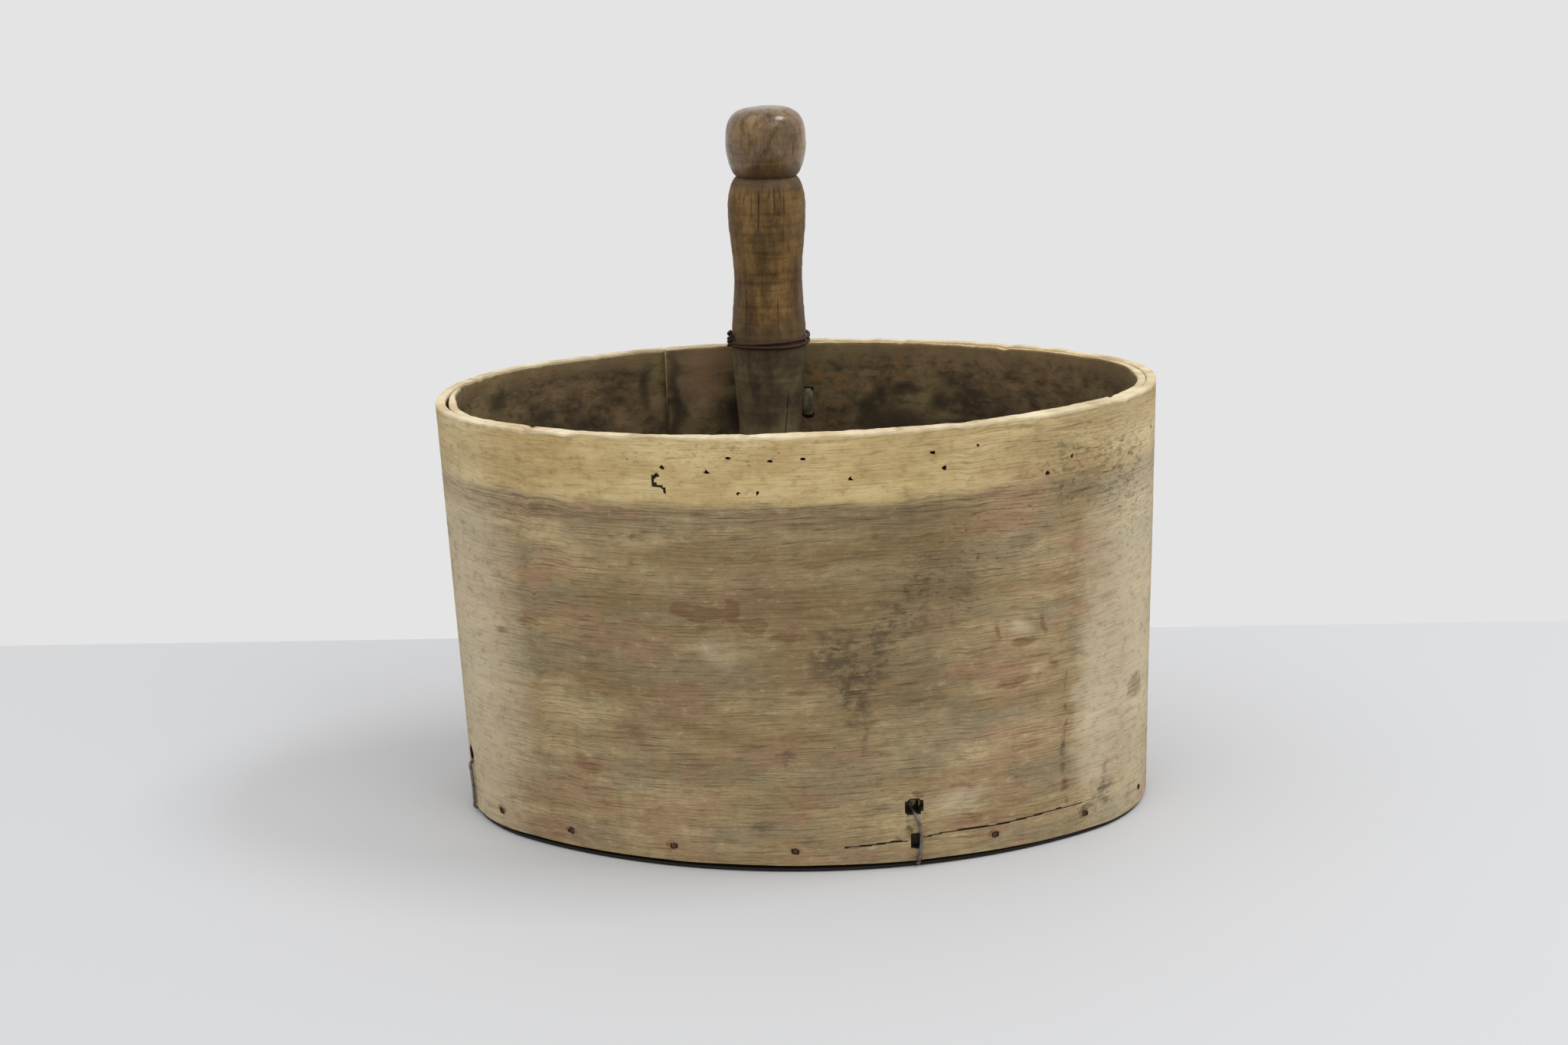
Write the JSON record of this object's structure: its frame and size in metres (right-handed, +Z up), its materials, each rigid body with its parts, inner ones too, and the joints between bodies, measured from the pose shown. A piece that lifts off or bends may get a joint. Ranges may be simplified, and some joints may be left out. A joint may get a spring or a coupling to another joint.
{
  "type": "feed scoop",
  "caption": "Oval bentwood feed scoop: double-wrapped wall on a flat bottom board, wire ties, and an upright turned handle fixed inside the back wall.",
  "frame": {"origin": "Centre of the whole scoop's box in plan, on the table surface under the bottom board.", "axes": "+Z up. +X along the oval's long axis, to the right of someone who faces the front. +Y to the back, where the handle stands."},
  "size_m": [0.3228, 0.2243, 0.3077],
  "materials": {
    "outer_wood": "weathered bare wood, tan, fine horizontal grain, dull",
    "inner_wood": "dark patinated wood inside, pale worn rim",
    "board_wood": "dark aged board, dull",
    "handle_wood": "warm brown turned wood, polished by hands",
    "rusty_wire": "dark rusty iron wire",
    "tie_wire": "dull grey iron wire with rust",
    "nail_iron": "rusted iron",
    "root": "grey dried root lacing"
  },
  "bodies": {
    "root": {"outer_band": "outer_wood", "inner_band": "inner_wood", "bottom_board": "board_wood", "handle": "handle_wood", "handle_binding": "rusty_wire", "handle_nail_low": "nail_iron", "handle_nail_high": "nail_iron", "wire_tie_front": "tie_wire", "wire_tie_right": "tie_wire", "wire_tie_back": "tie_wire", "wire_tie_left": "tie_wire", "root_stitch_1": "root", "root_stitch_2": "root", "root_stitch_3": "root", "root_stitch_4": "root", "board_nail_1": "nail_iron", "board_nail_2": "nail_iron", "board_nail_3": "nail_iron", "board_nail_4": "nail_iron", "board_nail_5": "nail_iron", "board_nail_6": "nail_iron", "board_nail_7": "nail_iron", "board_nail_8": "nail_iron", "board_nail_9": "nail_iron", "board_nail_10": "nail_iron", "board_nail_11": "nail_iron", "board_nail_12": "nail_iron", "board_nail_13": "nail_iron", "board_nail_14": "nail_iron", "board_nail_15": "nail_iron", "board_nail_16": "nail_iron", "board_nail_17": "nail_iron"}
  },
  "joints": []
}
